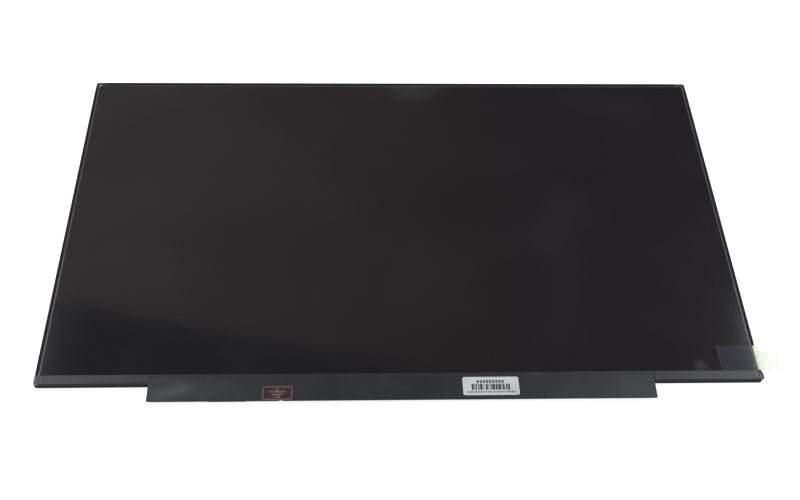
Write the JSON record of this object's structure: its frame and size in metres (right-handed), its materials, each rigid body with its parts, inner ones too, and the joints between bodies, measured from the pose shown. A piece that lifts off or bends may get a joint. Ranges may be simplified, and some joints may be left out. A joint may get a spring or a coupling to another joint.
{
  "type": "laptop screen panel",
  "caption": "Slim flat LCD module for a laptop lid: glass screen in a thin black rim, metal rear cover, and a taped control board along the bottom edge with a film pull tab.",
  "frame": {"origin": "middle of the module's outline (without the board) on the flat rear face of the metal cover", "axes": "+X along the screen's long side to the right as seen from the front, +Y towards the screen's top edge, +Z out of the screen; the module lies on its back"},
  "size_m": [0.3618, 0.2161, 0.0033],
  "materials": {
    "clear_film": "clear gloss",
    "tab_film": "clear gloss",
    "grip_film": "pale yellow-green satin",
    "polarizer": "dark semi-gloss",
    "cell_glass": "polished, cut edges",
    "optical_film": "pearly",
    "light_guide": "clear",
    "reflector_film": "white",
    "black_tape": "matte",
    "frame_plastic": "moulded satin",
    "cover_metal": "satin mill finish",
    "bond_tape": "matte",
    "flex_circuit": "satin amber",
    "led_package": "white",
    "solder_mask": "green satin",
    "chip_package": "moulded matte",
    "ferrite": "matte",
    "capacitor_ceramic": "satin",
    "resistor_ceramic": "satin",
    "connector_plastic": "moulded",
    "shell_metal": "plated",
    "contact_metal": "gold plated",
    "label_paper": "satin"
  },
  "bodies": {
    "root": {"pull_tab": "tab_film", "tab_grip_film": "grip_film", "protective_film": "clear_film", "front_polarizer": "polarizer", "color_filter_glass": "cell_glass", "tft_glass": "cell_glass", "rear_polarizer": "polarizer", "rim_tape": "bond_tape", "upper_prism_sheet": "optical_film", "lower_prism_sheet": "optical_film", "diffuser_sheet": "optical_film", "light_guide": "light_guide", "reflector_sheet": "reflector_film", "leds": "led_package", "light_bar_flex": "flex_circuit", "light_bar_tape": "bond_tape", "mould_frame": "frame_plastic", "rear_cover": "cover_metal", "edge_tape_left": "black_tape", "edge_tape_right": "black_tape", "edge_tape_top": "black_tape", "driver_films": "flex_circuit", "driver_chips": "chip_package", "control_board": "solder_mask", "timing_controller": "chip_package", "power_chips": "chip_package", "memory_chip": "chip_package", "power_inductors": "ferrite", "capacitors": "capacitor_ceramic", "resistors": "resistor_ceramic", "led_connector": "connector_plastic", "receptacle_housing": "connector_plastic", "receptacle_shell": "shell_metal", "receptacle_contacts": "contact_metal", "board_cover_tape": "black_tape", "label": "label_paper"}
  },
  "joints": []
}
